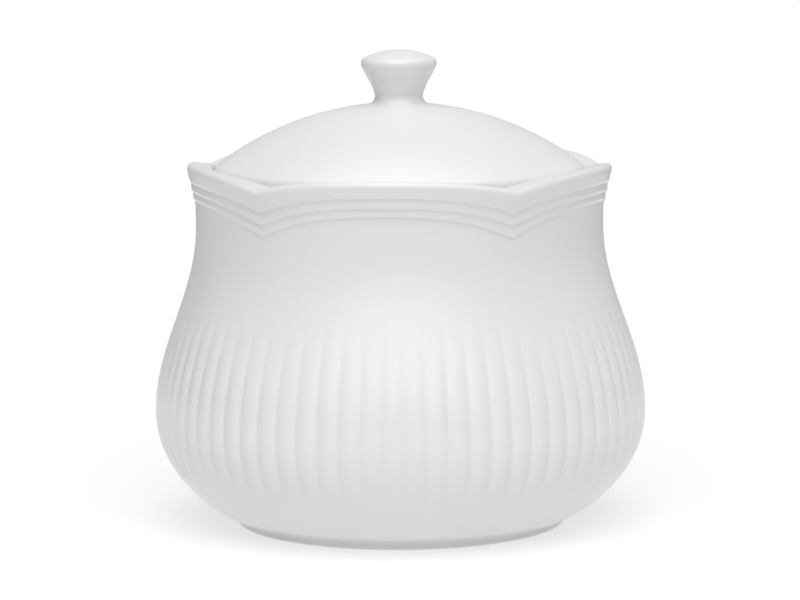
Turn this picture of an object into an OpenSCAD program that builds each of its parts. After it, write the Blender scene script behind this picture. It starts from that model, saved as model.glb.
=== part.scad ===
// Covered sugar bowl in white glazed porcelain.
// Two loose pieces: a fluted bowl with a five-sided stepped lip, and a domed lid with its knob.
// Origin at the centre of the foot, +Z up, millimetres. The front of the bowl looks along -Y.

/* [Belly and neck] */
// Largest diameter of the belly
belly_d = 104.5; // [100:0.5:110]
// Height of the widest part of the belly
belly_z = 24; // [22:0.5:27]
// Smallest diameter of the neck
neck_d = 86.4; // [84:0.2:88]
// Height of the narrowest part of the neck
neck_z = 63.4; // [61:0.2:65]
// Thickness of the wall
wall = 4.2; // [3.2:0.1:4.8]

/* [Foot] */
// Outer diameter of the foot ring
foot_d = 70.2; // [64:0.2:71]
// Height of the foot ring
foot_h = 1.6; // [1.2:0.1:2.2]
// Width of the foot ring where it stands
foot_w = 3.6; // [3:0.1:5]

/* [Flutes] */
// Number of flutes around the belly
flutes = 72; // [60:12:84]
// Depth of a flute on the belly
flute_depth = 0.55; // [0.2:0.05:0.6]

/* [Lip] */
// Number of faces of the lip
faces = 5; // [4:1:5]
// Turn of the faces about the upright axis, in degrees
face_turn = -4.3; // [-30:0.1:30]
// Distance from the axis to the lip at the middle of a face
lip_mid_r = 44.9; // [44.7:0.1:46]
// Distance from the axis to a corner of the lip
lip_corner_r = 45.5; // [45:0.1:47]
// Height of the lip at the middle of a face
lip_z = 77; // [76.8:0.1:79]
// How far the lip dips from the middle of a face to a corner
lip_dip = 2.4; // [0:0.1:2.4]

/* [Lid] */
// Diameter of the lid
lid_d = 78.4; // [76:0.2:79]
// Gap between the lid and the bowl around it
lid_gap = 0.4; // [0.3:0.1:1]
// Radius of the dome
dome_r = 64; // [61:0.5:68]
// Thickness of the lid
lid_wall = 3.6; // [3:0.1:4]
// Depth of the locating flange below the seat
flange_h = 6.5; // [4:0.5:8]
// Diameter of the knob
knob_d = 16; // [14:0.1:18]
// Height of the top of the knob
top_z = 100.5; // [99.5:0.5:103]

/* [Hidden] */
porcelain = "whitesmoke";
$fn = 96;

belly_r = belly_d / 2;
neck_r = neck_d / 2;
foot_r = foot_d / 2;
lid_r = lid_d / 2;
knob_r = knob_d / 2;

// Underside of the belly: half width and height of its elliptic round
under_w = 35.5;
under_h = 26.8;

// Heights between which the flutes fade in, and between which they fade out
flute_low = [9, 16];
flute_high = [24, 54];

// Stepped relief below the lip. Each line has its height at the middle of a face and its dip at
// a corner, then the distance from the axis just below it and just above it, each as
// [middle of a face, corner].
relief = [
    [69.6, 5.1, [43.28, 43.15], [43.68, 43.58]],
    [71.4, 4.35, [43.70, 43.42], [44.08, 43.92]],
    [73.4, 3.8, [44.10, 43.72], [44.50, 44.25]]
];
line_h = 0.7;
arch_power = 2.5;
corner_power = 3;

// Ledge inside the lip, on which the lid sits
seat_z = 74.3;
ledge_w = 2.4;
recess_r = lid_r + lid_gap;
mouth_r = lid_r - ledge_w;
lip_round = 0.9;

// Fall of the top of the lip towards the lid, as [middle of a face, corner]
lip_fall = [0.6, 0.05];

// Height at which the skin is closed inside the lip, just above the ledge that is cut later
closed_z = seat_z + 0.15;

// Where the cavity narrows under the ledge, and where it turns into the floor
ledge_t = 3;
throat_z = seat_z - 6.2;
turn_z = 12;
turn_w = 13;

// Locating flange of the lid, and the rounding of its rim and of its seat
flange_r = mouth_r - lid_gap;
flange_w = 3;
edge_round = 0.8;
seat_round = 0.3;

// Height of the dome on the axis, and the narrowest radius of the stem of the knob
dome_top = 89.3;
stem_r = 5.1;

steps = flutes * 2;
half_face = 180 / faces;

// 0 below a, 1 above b, and a smooth rise between them
function ramp(v, a, b) =
    let (u = min(1, max(0, (v - a) / (b - a))))
    u * u * (3 - 2 * u);

// Azimuth of a column from the middle of the front face. Every second column is the bottom of a
// flute, and the column nearest to each corner of the lip stands exactly on it.
function azimuth(i) =
    let (
        a = 360 * i / steps,
        corner = 2 * half_face * floor(a / (2 * half_face)) + half_face
    )
    abs(a - corner) < 180 / steps ? corner : a;

// 0 at the middle of a face and 1 at its corners
function across(i) =
    abs((azimuth(i) + half_face) % (2 * half_face) - half_face) / half_face;

function between(pair, t) = pair[0] + (pair[1] - pair[0]) * t;

// Radius of the round body without its flutes
function body_r(z) =
    z < belly_z
    ? belly_r - under_w + under_w * sqrt(1 - pow((belly_z - z) / under_h, 2))
    : between([neck_r, belly_r], (1 + cos(180 * min(1, (z - belly_z) / (neck_z - belly_z)))) / 2);

// How strongly the flutes show at a height
function flute_fade(z) =
    ramp(z, flute_low[0], flute_low[1]) * (1 - ramp(z, flute_high[0], flute_high[1]));

function body_point(i, z) = [body_r(z) - (1 - i % 2) * flute_depth * flute_fade(z), z];

// Height of an arched line at a column
function arched(z, dip, i) = z - dip * pow(across(i), arch_power);

// Lower and upper edge of one relief line
function line_points(k, i) =
    let (
        line = relief[k],
        t = pow(across(i), corner_power),
        z = arched(line[0], line[1], i)
    )
    [[between(line[2], t), z - line_h / 2], [between(line[3], t), z + line_h / 2]];

// The plain band and the rounded lip
function lip_points(i) =
    let (
        r = between([lip_mid_r, lip_corner_r], pow(across(i), corner_power)),
        z = arched(lip_z, lip_dip, i),
        inner_z = z - between(lip_fall, across(i))
    )
    [
        [r, z - 1.4 * lip_round],
        [r - 0.1 * lip_round, z - 0.8 * lip_round],
        [r - 0.4 * lip_round, z - 0.25 * lip_round],
        [r - lip_round, z],
        [recess_r + lip_round, inner_z],
        [recess_r - 1, max(inner_z - lip_round, closed_z)]
    ];

under_a0 = acos((belly_z - foot_h) / under_h);
under_z = [for (j = [0:7]) belly_z - under_h * cos(under_a0 + (90 - under_a0) * j / 8)];
side_top = 60;
side_z = [for (j = [0:10]) belly_z + (side_top - belly_z) * j / 10];

function column(i) = concat(
    [for (z = under_z) body_point(i, z)],
    [for (z = side_z) body_point(i, z)],
    line_points(0, i),
    line_points(1, i),
    line_points(2, i),
    lip_points(i)
);

// Outer skin of the bowl as one closed solid, to be hollowed out by the cavity
module skin() {
    columns = [for (i = [0:steps - 1]) column(i)];
    rows = len(columns[0]);
    points = [
        for (i = [0:steps - 1], p = columns[i])
            let (a = face_turn - 90 + azimuth(i))
            [p[0] * cos(a), p[0] * sin(a), p[1]]
    ];
    low = steps * rows;
    high = low + 1;
    quads = [
        for (i = [0:steps - 1], j = [0:rows - 2])
            let (
                a = i * rows + j,
                b = ((i + 1) % steps) * rows + j
            )
            each [[a, a + 1, b], [b, a + 1, b + 1]]
    ];
    caps = [
        for (i = [0:steps - 1])
            let (n = (i + 1) % steps)
            each [[low, i * rows, n * rows], [high, n * rows + rows - 1, i * rows + rows - 1]]
    ];
    polyhedron(
        points = concat(points, [[0, 0, foot_h], [0, 0, closed_z]]),
        faces = concat(quads, caps),
        convexity = 6
    );
}

module foot_ring() {
    inner_r = foot_r - foot_w;
    chamfer = 0.4;
    sunk_z = foot_h + 1;
    rotate_extrude()
        polygon([
            [inner_r, 0],
            [foot_r - chamfer, 0],
            [foot_r, chamfer],
            [foot_r, sunk_z],
            [inner_r, sunk_z]
        ]);
}

// Inside of the bowl, the ledge for the lid and the round wall above it
module cavity() {
    floor_z = foot_h + wall;
    open_z = lip_z + 10;
    side_r = body_r(turn_z) - wall;
    turn = [
        for (a = [90:-15:15])
            [side_r - turn_w * (1 - cos(a)), turn_z - (turn_z - floor_z) * sin(a)]
    ];
    side = [for (z = [turn_z:3:neck_z]) [body_r(z) - wall, z]];
    rotate_extrude()
        polygon(concat(
            [[0, floor_z]],
            turn,
            side,
            [
                [neck_r - wall, throat_z],
                [mouth_r, seat_z - ledge_t],
                [mouth_r, seat_z],
                [recess_r, seat_z],
                [recess_r, open_z],
                [0, open_z]
            ]
        ));
}

module bowl() {
    color(porcelain)
        difference() {
            union() {
                skin();
                foot_ring();
            }
            cavity();
        }
}

// Height of the dome at a distance from the axis
function dome_z(r) = dome_top - dome_r + sqrt(dome_r * dome_r - r * r);

// Waisted stem that flares to the rounded rim of the knob, under a slightly domed top
function knob_points() =
    let (
        rim_z = top_z - 2.75,
        flare = knob_r - stem_r
    )
    [
        [stem_r + 1.3, dome_z(stem_r + 1.3) + 0.15],
        [stem_r + 0.2, rim_z - 7.8],
        [stem_r, rim_z - 6.8],
        [stem_r + 0.1 * flare, rim_z - 5.8],
        [stem_r + 0.25 * flare, rim_z - 4.6],
        [stem_r + 0.5 * flare, rim_z - 3.3],
        [stem_r + 0.75 * flare, rim_z - 2],
        [knob_r - 0.1, rim_z - 0.6],
        [knob_r, rim_z],
        [knob_r - 0.15, rim_z + 0.6],
        [knob_r - 0.5, rim_z + 1.1],
        [knob_r - 1.8, rim_z + 1.65],
        [knob_r - 4.2, top_z - 0.3],
        [0, top_z]
    ];

module lid() {
    inner_r = flange_r - flange_w;
    low_z = seat_z - flange_h;
    under_dome = [for (r = [0:3:inner_r - 1]) [r, dome_z(r) - lid_wall]];
    over_dome = [for (r = [lid_r - edge_round:-2.5:stem_r + 2.6]) [r, dome_z(r)]];
    rotate_extrude()
        polygon(concat(
            under_dome,
            [
                [inner_r, dome_z(inner_r) - lid_wall],
                [inner_r, low_z + edge_round],
                [inner_r + edge_round, low_z],
                [flange_r - edge_round, low_z],
                [flange_r, low_z + edge_round],
                [flange_r, seat_z],
                [lid_r - seat_round, seat_z],
                [lid_r, seat_z + seat_round],
                [lid_r, dome_z(lid_r) - edge_round],
                [lid_r - 0.25 * edge_round, dome_z(lid_r)]
            ],
            over_dome,
            knob_points()
        ));
}

bowl();
color(porcelain) lid();
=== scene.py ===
"""Looks of the covered sugar bowl: one porcelain skin for the bowl and one for its lid.

Both skins are grids of points around the upright axis. Each column of a grid is an outline of
(distance from the axis, height), so flutes, relief lines and the five-sided lip are real shape.
Outlines and their sizes are in millimetres. Everything that reaches Blender is in metres.
"""

import math

import bpy
import numpy as np
from mathutils import Matrix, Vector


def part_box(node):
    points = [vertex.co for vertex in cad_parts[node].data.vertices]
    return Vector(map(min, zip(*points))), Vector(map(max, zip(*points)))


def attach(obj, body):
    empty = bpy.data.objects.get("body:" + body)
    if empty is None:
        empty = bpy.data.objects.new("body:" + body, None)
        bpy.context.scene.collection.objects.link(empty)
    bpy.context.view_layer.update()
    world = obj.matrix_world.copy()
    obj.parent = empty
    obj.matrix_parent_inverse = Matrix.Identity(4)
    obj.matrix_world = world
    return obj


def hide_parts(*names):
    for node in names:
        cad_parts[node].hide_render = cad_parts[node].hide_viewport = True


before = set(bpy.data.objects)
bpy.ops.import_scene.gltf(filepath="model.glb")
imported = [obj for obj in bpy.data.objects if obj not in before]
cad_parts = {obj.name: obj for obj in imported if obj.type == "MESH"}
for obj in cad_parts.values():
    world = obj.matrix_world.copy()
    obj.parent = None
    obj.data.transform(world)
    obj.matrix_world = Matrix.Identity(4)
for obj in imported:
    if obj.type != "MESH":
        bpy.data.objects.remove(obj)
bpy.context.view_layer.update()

MM = 0.001

# ---------------------------------------------------------------- sizes that come from the frame
bowl_low, bowl_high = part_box("bowl")
lid_low, lid_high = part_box("lid")
BELLY_R = (bowl_high.x - bowl_low.x) / 2 / MM
LID_R = (lid_high.x - lid_low.x) / 2 / MM
LID_TOP = lid_high.z / MM

# ---------------------------------------------------------------- bowl: body, in millimetres
COLUMNS = 720

# The underside of the belly is a part of an ellipse, UNDER_W by UNDER_H, below BELLY_Z
BELLY_Z = 24.0
UNDER_W = 35.5
UNDER_H = 26.8
NECK_R = 43.2
NECK_Z = 63.4
WALL = 4.2

# Above SIDE_TOP the neck's rows start to follow the lowest relief line, towards a line that is
# RELIEF_GAP below it
SIDE_TOP = 62.0
RELIEF_GAP = 0.35

# Foot ring, with the roundings of its inner and outer edges and the fillet inside it
FOOT_R = 35.1
FOOT_H = 1.6
FOOT_W = 3.6
FOOT_EDGE_IN = 0.5
FOOT_EDGE_OUT = 0.6
FOOT_ROOT = 0.9

# The underside rises a little from the foot ring to the axis, over rows at these distances
UNDER_RISE = 0.8
UNDER_ROWS = (12.0, 24.0)

# Outside the foot, a fillet leads up to the belly. It ends this far above the foot ring, and its
# height is a part of its width.
BELLY_START = 0.7
FILLET_FLATNESS = 0.55

# Flutes: their number, depth, the sharpness of their ribs, and the heights between which they
# fade in and fade out
FLUTES = 72
FLUTE_DEPTH = 0.55
FLUTE_SHARPNESS = 0.85
FLUTE_LOW = (9.0, 16.0)
FLUTE_HIGH = (24.0, 54.0)

# ---------------------------------------------------------------- bowl: lip and relief lines
# Number of faces, and their turn about the upright axis in degrees
FACES = 5
FACE_TURN = -4.3

# t goes from 0 at the middle of a face to 1 at its corners. Lines dip as t to the ARCH_POWER, and
# distances from the axis change as t to the CORNER_POWER.
ARCH_POWER = 2.5
CORNER_POWER = 3.0

LIP_MID_R = 44.9
LIP_CORNER_R = 45.5
LIP_Z = 77.0
LIP_DIP = 2.4

# Roundings of the lip's outer and inner edges, as (width, height)
LIP_OUT = (0.9, 1.2)
LIP_IN = (1.2, 0.9)

# Fall of the lip's top towards the lid, as (middle of a face, corner)
LIP_FALL = (0.6, 0.05)

# Each relief line: height and dip, then distance from the axis just below it and just above it,
# at the middle of a face and at a corner.
RELIEF = (
    {"z": 69.6, "dip": 5.1, "below": (43.28, 43.15), "above": (43.68, 43.58)},
    {"z": 71.4, "dip": 4.35, "below": (43.70, 43.42), "above": (44.08, 43.92)},
    {"z": 73.4, "dip": 3.8, "below": (44.10, 43.72), "above": (44.50, 44.25)},
)

# Height of each step, and how far the band between two steps bulges
STEP_H = 0.70
BEAD = 0.02

# ---------------------------------------------------------------- bowl: seat and inside
# Gap around the lid, height of its seat, the fillet at the edge of the seat, and the least
# height that the lip's rounding leaves of the round wall above it
LID_GAP = 0.4
SEAT_Z = 74.3
SEAT_FILLET = 0.1
LEAST_WALL = 0.05

# Ledge that makes the seat: its width, the rounding of its edge, the place of a row on its flat
# top, and the height of its inner face
LEDGE_W = 2.4
LEDGE_ROUND = 0.6
LEDGE_FLAT = 1.6
LEDGE_H = 2.2

# The throat widens from under the ledge to the inside of the neck
THROAT_TOP = SEAT_Z - 2.6
THROAT_H = 3.6

# Below TURN_Z the wall turns into the flat floor, along an arc that starts at TURN_START degrees.
# TURN_SHIFT moves the arc outwards, so that its start is in line with the wall.
FLOOR_Z = FOOT_H + WALL
FLOOR_R = 12.0
TURN_Z = 12.0
TURN_W = 13.0
TURN_START = -12
TURN_SHIFT = 0.25

# ---------------------------------------------------------------- lid and knob, in millimetres
LID_COLUMNS = 300
DOME_TOP = 89.3
DOME_R = 64.0
LID_WALL = 3.6

# Locating flange, its roundings, and the corner between it and the underside of the dome
FLANGE_H = 6.5
FLANGE_W = 3.0
FLANGE_ROUND = 1.2
FLANGE_SIDE = 3.0
FLANGE_FILLET = 0.5
CORNER_W = 1.0
CORNER_H = 0.8

# The lid's edge is a small rounding at the seat, then a tall one from EDGE_LOW above the seat to
# the dome, which it meets near SHOULDER in from the edge
SEAT_ROUND = 0.3
EDGE_W = 1.3
EDGE_LOW = 0.6
SHOULDER = 1.0

# Distances of the dome's rows: the first is measured in from the edge, the last from the axis
DOME_FIRST = 1.6
DOME_LAST = 8.2

# Knob. STEM_FOOT is where its stem meets the dome, as (distance from the axis, height above the
# dome). STEM is its waist and its flare, as (distance from the axis, distance below the rim).
KNOB_R = 8.0
RIM_DROP = 2.75
RIM_ROUND = (0.9, 1.2)
STEM_FOOT = ((6.9, 0.05), (5.9, 0.25))
STEM = ((5.3, 7.8), (5.08, 7.1), (5.1, 6.5), (5.35, 5.85), (5.8, 4.6), (6.5, 3.35), (7.2, 2.05))
STEM_POINTS = 26
CROWN_POWER = 2.2

# Distances from the axis to the ledge's inner face and to the round wall above it
MOUTH_R = LID_R - LEDGE_W
RECESS_R = LID_R + LID_GAP


# ---------------------------------------------------------------- small helpers
def ramp(v, low, high):
    """0 below low, 1 above high, and a smooth rise between them."""
    u = np.clip((v - low) / (high - low), 0.0, 1.0)
    return u * u * (3.0 - 2.0 * u)


def arc(centre, radii, start, end, count):
    """Points on an ellipse's arc, from start to end in degrees, both ends included."""
    angles = np.radians(np.linspace(start, end, count))
    return [(centre[0] + radii[0] * math.cos(a), centre[1] + radii[1] * math.sin(a))
            for a in angles]


def spread(low, high, count):
    """Values strictly between low and high, evenly spread."""
    return list(np.linspace(low, high, count + 2)[1:-1])


def smooth(points, count):
    """A smooth curve through the points, evenly sampled: Catmull-Rom with doubled ends."""
    p = np.array([points[0], *points, points[-1]], float)
    curve = []
    for u in np.linspace(0, len(points) - 1, count):
        k = min(int(u), len(points) - 2)
        s = u - k
        a, b, c, d = p[k:k + 4]
        curve.append(tuple(0.5 * (2 * b + (c - a) * s + (2 * a - 5 * b + 4 * c - d) * s * s
                                  + (3 * b - a - 3 * c + d) * s ** 3)))
    return curve


# ---------------------------------------------------------------- the bowl's outline
def angles_around(columns):
    """Azimuth of each column, measured from the front towards the right, in degrees."""
    return FACE_TURN - 180.0 / FACES + 360.0 * np.arange(columns) / columns


def across(columns):
    """0 at the middle of a face and 1 at its corners, for each column."""
    per_face = columns // FACES
    return np.abs((np.arange(columns) % per_face) / (per_face / 2.0) - 1.0)


# The t of each column, and the same raised to CORNER_POWER
TO_CORNER = across(COLUMNS)
NEAR_CORNER = TO_CORNER ** CORNER_POWER


def ring(r, z):
    """One row of the bowl: a distance and a height for each column."""
    return np.full(COLUMNS, 1.0) * r, np.full(COLUMNS, 1.0) * z


def rings(outline):
    """Round rows of the bowl, from (distance, height) points."""
    return [ring(r, z) for r, z in outline]


def mixed(pair, t):
    """From the middle-of-face value to the corner value."""
    return pair[0] + (pair[1] - pair[0]) * t


def arched(z, dip):
    """Height of an arched line at each column: z at the middle of a face, lower at its corners."""
    return z - dip * TO_CORNER ** ARCH_POWER


def body_r(z):
    """Radius of the round body at a height, without its flutes."""
    if z < BELLY_Z:
        return BELLY_R - UNDER_W + UNDER_W * math.sqrt(1.0 - ((BELLY_Z - z) / UNDER_H) ** 2)
    rise = min(1.0, (z - BELLY_Z) / (NECK_Z - BELLY_Z))
    return NECK_R + (BELLY_R - NECK_R) * (1.0 + math.cos(math.pi * rise)) / 2.0


def flute(z):
    """How far the surface sinks at a height, for each column: rounded ribs, narrow valleys."""
    turn = (angles_around(COLUMNS) - FACE_TURN) * FLUTES / 360.0
    rib = np.abs(np.sin(math.pi * turn)) ** FLUTE_SHARPNESS
    fade = ramp(z, *FLUTE_LOW) * (1.0 - ramp(z, *FLUTE_HIGH))
    return FLUTE_DEPTH * fade * (1.0 - rib)


def foot_rows():
    """Underside inside the foot ring, the ring, and the fillet from it to the belly."""
    foot_in = FOOT_R - FOOT_W
    rows = [ring(r, FOOT_H + UNDER_RISE * (1.0 - (r / foot_in) ** 2)) for r in UNDER_ROWS]
    rows += rings(arc((foot_in - FOOT_ROOT, FOOT_H - FOOT_ROOT), (FOOT_ROOT, FOOT_ROOT),
                      90, 0, 3))
    rows += rings(arc((foot_in + FOOT_EDGE_IN, FOOT_EDGE_IN), (FOOT_EDGE_IN, FOOT_EDGE_IN),
                      180, 270, 3))
    rows += rings(arc((FOOT_R - FOOT_EDGE_OUT, FOOT_EDGE_OUT), (FOOT_EDGE_OUT, FOOT_EDGE_OUT),
                      270, 360, 4))
    belly_low = FOOT_H + BELLY_START
    fillet_w = body_r(belly_low) - FOOT_R
    fillet_h = fillet_w * FILLET_FLATNESS
    rows += rings(arc((FOOT_R + fillet_w, belly_low - fillet_h), (fillet_w, fillet_h),
                      180, 90, 4))
    return rows


def belly_rows():
    """Fluted underside of the belly, and its side up to the neck."""
    first = math.acos((BELLY_Z - FOOT_H - BELLY_START) / UNDER_H)
    under = [BELLY_Z - UNDER_H * math.cos(a) for a in np.linspace(first, math.pi / 2, 19)[1:]]
    side = np.linspace(BELLY_Z, SIDE_TOP, 21)[1:]
    return [ring(body_r(z) - flute(z), z) for z in (*under, *side)]


def relief_rows():
    """The top of the neck, the stepped relief lines, and the plain band up to the lip."""
    rows = []
    first = RELIEF[0]
    neck_top = arched(first["z"], first["dip"]) - STEP_H / 2 - RELIEF_GAP
    for u in (0.3, 0.6, 0.85):
        r = NECK_R + (mixed(first["below"], TO_CORNER) - NECK_R) * u ** 2
        rows.append(ring(r, SIDE_TOP + (neck_top - SIDE_TOP) * u))
    for k, line in enumerate(RELIEF):
        z_line = arched(line["z"], line["dip"])
        z_low = z_line + STEP_H / 2
        below = mixed(line["below"], NEAR_CORNER)
        above = mixed(line["above"], NEAR_CORNER)
        for u in np.linspace(0, 1, 7):
            rows.append(ring(below + (above - below) * ramp(u, 0.0, 1.0),
                             z_line + STEP_H * (u - 0.5)))
        if k + 1 < len(RELIEF):
            # A faintly rounded band up to the next line
            upper = RELIEF[k + 1]
            z_high = arched(upper["z"], upper["dip"]) - STEP_H / 2
            r_high = mixed(upper["below"], NEAR_CORNER)
            for v in (0.2, 0.5, 0.8):
                bulge = BEAD * 4.0 * v * (1.0 - v)
                rows.append(ring(above + (r_high - above) * v + bulge,
                                 z_low + (z_high - z_low) * v))
    lip_r = mixed((LIP_MID_R, LIP_CORNER_R), NEAR_CORNER)
    z_high = arched(LIP_Z, LIP_DIP) - LIP_OUT[1]
    for v in (0.25, 0.5, 0.75):
        rows.append(ring(above + (lip_r - above) * v, z_low + (z_high - z_low) * v))
    return rows


def lip_rows():
    """The rounded lip, its top that falls towards the lid, and the round wall down to the seat."""
    rows = []
    lip_r = mixed((LIP_MID_R, LIP_CORNER_R), NEAR_CORNER)
    crest = arched(LIP_Z, LIP_DIP)
    out_w, out_h = LIP_OUT
    in_w, in_h_most = LIP_IN
    for a in np.radians(np.linspace(0, 90, 8)):
        rows.append(ring(lip_r - out_w * (1 - math.cos(a)), crest - out_h * (1 - math.sin(a))))
    fall = mixed(LIP_FALL, TO_CORNER)
    for u in (0.35, 0.7):
        rows.append(ring((lip_r - out_w) * (1 - u) + (RECESS_R + in_w) * u, crest - fall * u))
    # At the corners the wall above the seat is too low for the whole rounding, so it shrinks
    inner_top = crest - fall
    wall_low = SEAT_Z + SEAT_FILLET
    in_h = np.minimum(in_h_most, inner_top - wall_low - LEAST_WALL)
    for a in np.radians(np.linspace(90, 180, 6)):
        rows.append(ring(RECESS_R + in_w * (1 + math.cos(a)),
                         inner_top - in_h * (1 - math.sin(a))))
    rows.append(ring(RECESS_R, (inner_top - in_h + wall_low) / 2))
    return rows


def inside_rows():
    """The ledge for the lid, the throat below it, the inner wall and its turn into the floor."""
    rows = rings(arc((RECESS_R - SEAT_FILLET, SEAT_Z + SEAT_FILLET), (SEAT_FILLET, SEAT_FILLET),
                     0, -90, 4))
    rows.append(ring(MOUTH_R + LEDGE_FLAT, SEAT_Z))
    rows += rings(arc((MOUTH_R + LEDGE_ROUND, SEAT_Z - LEDGE_ROUND), (LEDGE_ROUND, LEDGE_ROUND),
                      90, 180, 4))
    rows.append(ring(MOUTH_R, SEAT_Z - LEDGE_H))
    for u in (0.3, 0.65, 1.0):
        rows.append(ring(MOUTH_R + (NECK_R - WALL - MOUTH_R) * ramp(u, 0, 1),
                         THROAT_TOP - THROAT_H * u))
    for z in np.linspace(NECK_Z, TURN_Z, 10):
        rows.append(ring(body_r(z) - WALL, z))
    turn_r = body_r(TURN_Z) - WALL - TURN_W + TURN_SHIFT
    rows += rings(arc((turn_r, TURN_Z), (TURN_W, TURN_Z - FLOOR_Z), TURN_START, -90, 5))
    rows.append(ring(FLOOR_R, FLOOR_Z))
    return rows


def bowl_rows():
    """The bowl's closed outline from the middle of its underside to the middle of its floor."""
    return foot_rows() + belly_rows() + relief_rows() + lip_rows() + inside_rows()


# ---------------------------------------------------------------- the lid's outline
def dome_z(r):
    """Height of the top of the dome at a distance from the axis."""
    return DOME_TOP - DOME_R + math.sqrt(DOME_R * DOME_R - r * r)


def flange_outline():
    """Hollow underside of the dome, and the locating flange that drops into the mouth."""
    flange_r = MOUTH_R - LID_GAP
    flange_in = flange_r - FLANGE_W
    low = SEAT_Z - FLANGE_H
    corner_z = dome_z(flange_in) - LID_WALL
    foot = (FLANGE_ROUND, FLANGE_ROUND)
    fillet = (FLANGE_FILLET, FLANGE_FILLET)
    outline = [(r, dome_z(r) - LID_WALL) for r in spread(0.0, flange_in - CORNER_W, 12)]
    outline += arc((flange_in - FLANGE_ROUND, corner_z - CORNER_H), foot, 70, 0, 4)
    outline += [(flange_in, low + FLANGE_SIDE)]
    outline += arc((flange_in + FLANGE_ROUND, low + FLANGE_ROUND), foot, 180, 270, 5)
    outline += arc((flange_r - FLANGE_ROUND, low + FLANGE_ROUND), foot, 270, 360, 5)
    outline += [(flange_r, low + FLANGE_SIDE)]
    outline += arc((flange_r + FLANGE_FILLET, SEAT_Z - FLANGE_FILLET), fillet, 180, 90, 4)
    return outline


def dome_outline():
    """The lid's edge from its seat upwards, and the dome up to the knob."""
    outline = arc((LID_R - SEAT_ROUND, SEAT_Z + SEAT_ROUND), (SEAT_ROUND, SEAT_ROUND),
                  270, 360, 4)
    edge_h = dome_z(LID_R - SHOULDER) - SEAT_Z - EDGE_LOW
    outline += arc((LID_R - EDGE_W, SEAT_Z + EDGE_LOW), (EDGE_W, edge_h), 6, 66, 8)
    outline += [(r, dome_z(r)) for r in np.linspace(LID_R - DOME_FIRST, DOME_LAST, 30)]
    return outline


def knob_outline():
    """Waisted stem that flares to a rounded rim, under a slightly domed top."""
    rim_z = LID_TOP - RIM_DROP
    stem = [(r, dome_z(r) + rise) for r, rise in STEM_FOOT]
    stem += [(r, rim_z - drop) for r, drop in STEM]
    outline = smooth(stem, STEM_POINTS)
    outline += arc((KNOB_R - RIM_ROUND[0], rim_z), RIM_ROUND, -30, 62, 9)
    edge_r, edge_z = outline[-1]
    for r in np.linspace(edge_r, 0.0, 14)[1:-1]:
        outline.append((r, LID_TOP - (LID_TOP - edge_z) * (r / edge_r) ** CROWN_POWER))
    return outline


def lid_rows():
    """The lid's closed outline, from the middle of its inside to the top of its knob."""
    outline = flange_outline() + dome_outline() + knob_outline()
    return [(np.full(LID_COLUMNS, r), np.full(LID_COLUMNS, z)) for r, z in outline]


# ---------------------------------------------------------------- meshes
def link(name, data):
    """A new object in the scene, of a mesh or a camera."""
    thing = bpy.data.objects.new(name, data)
    bpy.context.scene.collection.objects.link(thing)
    return thing


def skin(name, rows, azimuths, first_z, last_z):
    """A closed mesh from rows of rings, with a point on the axis at each end."""
    columns = len(azimuths)
    radii = np.array([r for r, _ in rows])
    heights = np.array([z for _, z in rows])
    turn = np.radians(azimuths)
    x = radii * np.sin(turn)
    y = -radii * np.cos(turn)
    grid = np.stack([x, y, heights], axis=-1).reshape(-1, 3) * MM
    ends = np.array([[0, 0, first_z], [0, 0, last_z]]) * MM
    verts = np.concatenate([grid, ends])
    count = len(rows)
    here = np.arange(columns)
    after = (here + 1) % columns
    faces = []
    for j in range(count - 1):
        low = j * columns
        high = low + columns
        quads = np.stack([low + here, low + after, high + after, high + here], axis=-1)
        faces += quads.tolist()
    first = count * columns
    last = first + 1
    top = (count - 1) * columns
    faces += [[first, after[i], here[i]] for i in range(columns)]
    faces += [[last, top + here[i], top + after[i]] for i in range(columns)]
    mesh = bpy.data.meshes.new(name)
    mesh.from_pydata(verts.tolist(), [], faces)
    mesh.validate()
    mesh.shade_smooth()
    return link(name, mesh)


# ---------------------------------------------------------------- material nodes
def new_material(name):
    """A material with its node tree and its shader."""
    material = bpy.data.materials.new(name)
    material.use_nodes = True
    tree = material.node_tree
    shader = tree.nodes["Principled BSDF"]
    return material, tree, shader


def object_place(tree):
    """The place of a point on the piece, in metres."""
    return tree.nodes.new("ShaderNodeTexCoord").outputs["Object"]


def noise(tree, scale, detail):
    """Noise that is fixed to the piece. scale is in features per metre."""
    texture = tree.nodes.new("ShaderNodeTexNoise")
    texture.inputs["Scale"].default_value = scale
    texture.inputs["Detail"].default_value = detail
    tree.links.new(object_place(tree), texture.inputs["Vector"])
    return texture.outputs["Fac"]


def between(tree, value, low, high):
    """Maps noise to the range low to high."""
    node = tree.nodes.new("ShaderNodeMapRange")
    node.inputs["From Min"].default_value = 0.2
    node.inputs["From Max"].default_value = 0.8
    node.inputs["To Min"].default_value = low
    node.inputs["To Max"].default_value = high
    tree.links.new(value, node.inputs["Value"])
    return node.outputs["Result"]


def rising(tree, length, low, high):
    """0 below low, 1 above high, and a smooth rise between them, all in metres."""
    node = tree.nodes.new("ShaderNodeMapRange")
    node.interpolation_type = "SMOOTHSTEP"
    node.inputs["From Min"].default_value = low
    node.inputs["From Max"].default_value = high
    tree.links.new(length, node.inputs["Value"])
    return node.outputs["Result"]


def maths(tree, operation, first, second):
    """A Math node. Each side is a number or an output of another node."""
    node = tree.nodes.new("ShaderNodeMath")
    node.operation = operation
    for socket, value in zip(node.inputs, (first, second)):
        if isinstance(value, float):
            socket.default_value = value
        else:
            tree.links.new(value, socket)
    return node.outputs["Value"]


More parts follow.
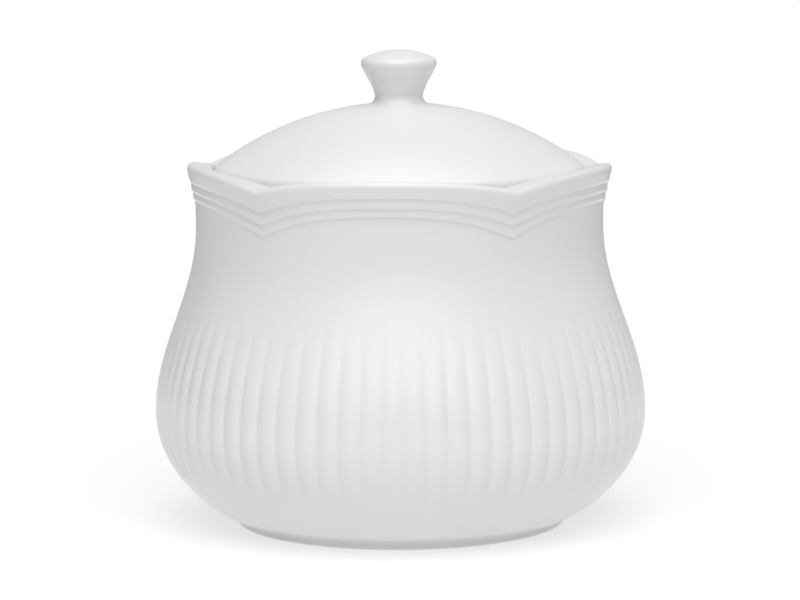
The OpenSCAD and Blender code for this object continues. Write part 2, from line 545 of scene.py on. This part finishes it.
def tint(tree, factor, low, high):
    """A colour that goes from low to high with a factor."""
    node = tree.nodes.new("ShaderNodeMix")
    node.data_type = "RGBA"
    node.inputs["A"].default_value = (*low, 1)
    node.inputs["B"].default_value = (*high, 1)
    tree.links.new(factor, node.inputs["Factor"])
    return node.outputs["Result"]


def grey(tree, factor, low, high):
    """A grey that goes from low to high with a factor."""
    return tint(tree, factor, (low,) * 3, (high,) * 3)


def blend(tree, factor, low, high):
    """Goes from one linked colour to the other with a factor."""
    node = tree.nodes.new("ShaderNodeMix")
    node.data_type = "RGBA"
    tree.links.new(factor, node.inputs["Factor"])
    tree.links.new(low, node.inputs["A"])
    tree.links.new(high, node.inputs["B"])
    return node.outputs["Result"]


def bump(tree, shader, height, distance, strength):
    """Fine relief from a height, up to a distance in metres."""
    node = tree.nodes.new("ShaderNodeBump")
    node.inputs["Distance"].default_value = distance
    node.inputs["Strength"].default_value = strength
    tree.links.new(height, node.inputs["Height"])
    tree.links.new(node.outputs["Normal"], shader.inputs["Normal"])


# ---------------------------------------------------------------- porcelain
# Tone of the white, and the part of it that is left just above the foot, where painted shade
# darkens the bowl. Between the heights given for that painted shade, in millimetres, the tone
# rises from the one to the other.
BOWL_WHITE = 0.775
BOWL_PAINTED_SHADE = 0.935
# The lid's white is lighter than the bowl's though both are one porcelain: painted light on the
# lid.
LID_WHITE_WITH_PAINTED_LIGHT = 0.812
LID_PAINTED_SHADE = 1.0
PAINTED_SHADE_HEIGHTS = (8.0, 28.0)
MOTTLE = 0.004

# Unglazed parts, as heights and distances from the axis in millimetres
BARE_FOOT = {"heights": (-0.1, 0.12), "distances": (30.0, 36.0)}
BARE_SEAT = {"heights": (SEAT_Z - 0.1, SEAT_Z + 0.12), "distances": (36.0, 39.0)}


def glazed_porcelain(name, white, painted_shade):
    """White porcelain under a clear glaze, with a faint mottle, a faint ripple and painted shade
    that darkens it towards the foot.
    """
    material, tree, shader = new_material(name)
    mottle = between(tree, noise(tree, 900.0, 3.0), 0.0, 1.0)
    shaded_white = white * painted_shade
    upper = grey(tree, mottle, white - MOTTLE, white + MOTTLE)
    # The lower grey is the white under painted shade, near the foot.
    lower = grey(tree, mottle, shaded_white - MOTTLE, shaded_white + MOTTLE)
    split = tree.nodes.new("ShaderNodeSeparateXYZ")
    tree.links.new(object_place(tree), split.inputs["Vector"])
    rise = rising(tree, split.outputs["Z"], PAINTED_SHADE_HEIGHTS[0] * MM, PAINTED_SHADE_HEIGHTS[1] * MM)
    tree.links.new(blend(tree, rise, lower, upper), shader.inputs["Base Color"])
    rough = between(tree, noise(tree, 1500.0, 2.0), 0.285, 0.30)
    tree.links.new(rough, shader.inputs["Roughness"])
    shader.inputs["IOR"].default_value = 1.42
    shader.inputs["Coat Weight"].default_value = 0.25
    shader.inputs["Coat Roughness"].default_value = 0.06
    shader.inputs["Coat IOR"].default_value = 1.5
    bump(tree, shader, noise(tree, 300.0, 2.0), 0.00002, 0.3)
    return material


def bare_porcelain(name):
    """Unglazed porcelain where the piece stands: matt, fine-grained and a little greyer."""
    material, tree, shader = new_material(name)
    grain = between(tree, noise(tree, 2600.0, 4.0), 0.0, 1.0)
    colour = tint(tree, grain, (0.66, 0.645, 0.62), (0.76, 0.75, 0.73))
    tree.links.new(colour, shader.inputs["Base Color"])
    shader.inputs["Roughness"].default_value = 0.85
    bump(tree, shader, noise(tree, 3200.0, 3.0), 0.00006, 0.6)
    return material


def leave_bare(piece, material, heights, distances):
    """Gives a second material to the faces in a range of heights and distances from the axis."""
    piece.data.materials.append(material)
    for face in piece.data.polygons:
        centre = face.center
        height = centre.z / MM
        distance = math.hypot(centre.x, centre.y) / MM
        if heights[0] <= height <= heights[1] and distances[0] <= distance <= distances[1]:
            face.material_index = 1


# ---------------------------------------------------------------- floor
# The camera sees the floor as pale everywhere. The light that the floor sends to the bowl falls
# to FLOOR_DIM of itself between two distances from the bowl, in metres, as on a table in front
# of a dim room.
FLOOR_HALF = 4.0
FLOOR_NEAR = 0.29
FLOOR_FAR = 0.48
FLOOR_WHITE = 0.40
FLOOR_GLOW = 0.57
FLOOR_DIM = 0.42
FLOOR_GRAIN = 0.01


def paper():
    """Pale matt paper with a faint glow of its own."""
    material, tree, shader = new_material("paper")
    grain = between(tree, noise(tree, 3.0, 2.0), 0.0, 1.0)
    near = grey(tree, grain, FLOOR_WHITE - FLOOR_GRAIN, FLOOR_WHITE + FLOOR_GRAIN)
    dim_white = FLOOR_WHITE * FLOOR_DIM
    dim = grey(tree, grain, dim_white, dim_white + FLOOR_GRAIN)
    distance = tree.nodes.new("ShaderNodeVectorMath")
    distance.operation = "LENGTH"
    tree.links.new(object_place(tree), distance.inputs[0])
    far = rising(tree, distance.outputs["Value"], FLOOR_NEAR, FLOOR_FAR)
    seen = tree.nodes.new("ShaderNodeLightPath").outputs["Is Camera Ray"]
    fade = maths(tree, "MULTIPLY", far, maths(tree, "SUBTRACT", 1.0, seen))
    tree.links.new(blend(tree, fade, near, dim), shader.inputs["Base Color"])
    glow = tree.nodes.new("ShaderNodeMapRange")
    glow.inputs["To Min"].default_value = FLOOR_GLOW
    glow.inputs["To Max"].default_value = FLOOR_GLOW * FLOOR_DIM
    tree.links.new(fade, glow.inputs["Value"])
    tree.links.new(glow.outputs["Result"], shader.inputs["Emission Strength"])
    shader.inputs["Emission Color"].default_value = (1.0, 1.0, 1.0, 1.0)
    shader.inputs["Roughness"].default_value = 0.9
    return material


def make_floor():
    """A large flat floor that fills the picture behind the bowl."""
    corners = [(-1, -1), (1, -1), (1, 1), (-1, 1)]
    mesh = bpy.data.meshes.new("floor")
    mesh.from_pydata([(x * FLOOR_HALF, y * FLOOR_HALF, 0.0) for x, y in corners],
                     [], [(0, 1, 2, 3)])
    mesh.materials.append(paper())
    link("floor", mesh)


# ---------------------------------------------------------------- light and camera
# Soft light in the sky of the studio: azimuth from the front towards the right and elevation of
# each light in degrees, and its strength. Every light fades out smoothly about 45 degrees away,
# where the cosine of the angle to it is SKY_EDGE.
SKY_LIGHTS = (
    (0, 75, 2.38),
    (0, 45, 1.75),
    (120, 12, 0.60),
    (-120, 12, 0.25),
    (180, 12, 0.60),
)
SKY_EDGE = 0.7


def sky_light(tree, direction, azimuth, elevation, strength):
    """Strength of one soft light, seen in a direction."""
    a, e = math.radians(azimuth), math.radians(elevation)
    level = math.cos(e)
    towards = tree.nodes.new("ShaderNodeVectorMath")
    towards.operation = "DOT_PRODUCT"
    towards.inputs[1].default_value = (math.sin(a) * level, -math.cos(a) * level, math.sin(e))
    tree.links.new(direction, towards.inputs[0])
    fade = tree.nodes.new("ShaderNodeMapRange")
    fade.interpolation_type = "SMOOTHSTEP"
    fade.inputs["From Min"].default_value = SKY_EDGE
    fade.inputs["From Max"].default_value = 1.0
    fade.inputs["To Min"].default_value = 0.0
    fade.inputs["To Max"].default_value = strength
    tree.links.new(towards.outputs["Value"], fade.inputs["Value"])
    return fade.outputs["Result"]


def make_light():
    """Soft lights in an otherwise dark sky, added up."""
    world = bpy.data.worlds.new("studio")
    world.use_nodes = True
    tree = world.node_tree
    direction = tree.nodes.new("ShaderNodeTexCoord").outputs["Generated"]
    total = 0.0
    for light in SKY_LIGHTS:
        total = maths(tree, "ADD", total, sky_light(tree, direction, *light))
    background = tree.nodes["Background"]
    background.inputs["Color"].default_value = (1.0, 1.0, 1.0, 1.0)
    tree.links.new(total, background.inputs["Strength"])
    bpy.context.scene.world = world


# Place of the camera in metres, its angles in degrees, and its lens in millimetres
CAMERA_BACK = 0.800
CAMERA_UP = 0.1555
CAMERA_PITCH = 7.71
CAMERA_ROLL = -0.3
CAMERA_LENS = 170.6
CAMERA_SENSOR = 36.0


def make_camera():
    """A long lens in front of the bowl and a little above it, looking slightly down."""
    data = bpy.data.cameras.new("camera")
    data.lens = CAMERA_LENS
    data.sensor_width = CAMERA_SENSOR
    data.clip_start = 0.01
    camera = link("camera", data)
    place = Matrix.Translation((0.0, -CAMERA_BACK, CAMERA_UP))
    tilt = Matrix.Rotation(math.radians(90.0 - CAMERA_PITCH), 4, "X")
    roll = Matrix.Rotation(math.radians(CAMERA_ROLL), 4, "Z")
    camera.matrix_world = place @ tilt @ roll
    bpy.context.scene.camera = camera
    bpy.context.scene.view_settings.view_transform = "Standard"


# ---------------------------------------------------------------- build
make_camera()

bowl = skin("bowl_porcelain", bowl_rows(), angles_around(COLUMNS), FOOT_H + UNDER_RISE, FLOOR_Z)
# The bowl's glaze carries painted shade that darkens it towards the foot.
bowl.data.materials.append(glazed_porcelain("bowl_glaze", BOWL_WHITE, BOWL_PAINTED_SHADE))
leave_bare(bowl, bare_porcelain("bare_foot"), **BARE_FOOT)
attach(bowl, "bowl")
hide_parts("bowl")

lid = skin("lid_porcelain", lid_rows(), angles_around(LID_COLUMNS), DOME_TOP - LID_WALL, LID_TOP)
# The lid's lighter white is painted light.
lid.data.materials.append(glazed_porcelain("lid_glaze", LID_WHITE_WITH_PAINTED_LIGHT, LID_PAINTED_SHADE))
leave_bare(lid, bare_porcelain("bare_seat"), **BARE_SEAT)
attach(lid, "lid")
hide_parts("lid")

make_floor()
make_light()
